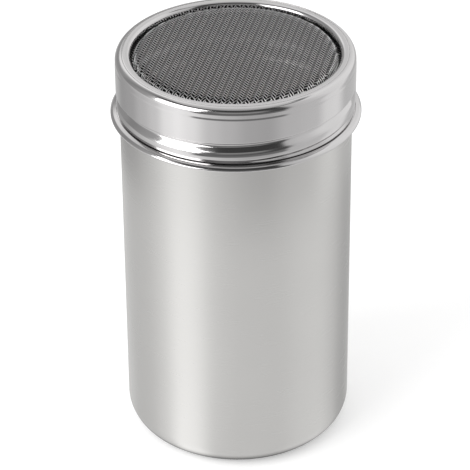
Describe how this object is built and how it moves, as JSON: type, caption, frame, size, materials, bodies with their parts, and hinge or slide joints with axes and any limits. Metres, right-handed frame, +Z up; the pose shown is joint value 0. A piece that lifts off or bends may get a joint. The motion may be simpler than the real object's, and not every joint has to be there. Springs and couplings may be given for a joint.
{
  "type": "mesh top spice shaker",
  "caption": "Cylindrical steel spice shaker: a drawn cup with a stop bead and threaded neck, closed by a screw lid that holds a woven wire screen to dust powder through.",
  "frame": {"origin": "centre of the base, on the plane that the shaker stands on", "axes": "+Z up along the axis of the shaker, -Y towards the viewer, +X to the viewer's right"},
  "size_m": [0.0758, 0.0758, 0.1292],
  "materials": {
    "satin_steel": "satin, fine lines around the wall",
    "polished_steel": "polished",
    "wire_steel": "drawn bright wire",
    "ring_steel": "plain mill finish"
  },
  "bodies": {
    "cup": {"cup_body": "satin_steel"},
    "lift_carrier": {"screen_ring": "ring_steel"},
    "lid": {"lid_shell": "polished_steel", "screen_warp_wires": "wire_steel", "screen_weft_wires": "wire_steel"}
  },
  "joints": [
    {"name": "lid_lift", "type": "slide", "parent": "cup", "child": "lift_carrier", "axis": [0, 0, 1], "range_m": [0, 0.00578]},
    {"name": "lid_turn", "type": "hinge", "parent": "lift_carrier", "child": "lid", "pos_m": [0, 0, 0.12], "axis": [0, 0, 1], "range_deg": [0, 378]}
  ],
  "couplings": [
    {"joint": "lid_lift", "follows": "lid_turn", "m_per_rad": 0.00087535}
  ]
}
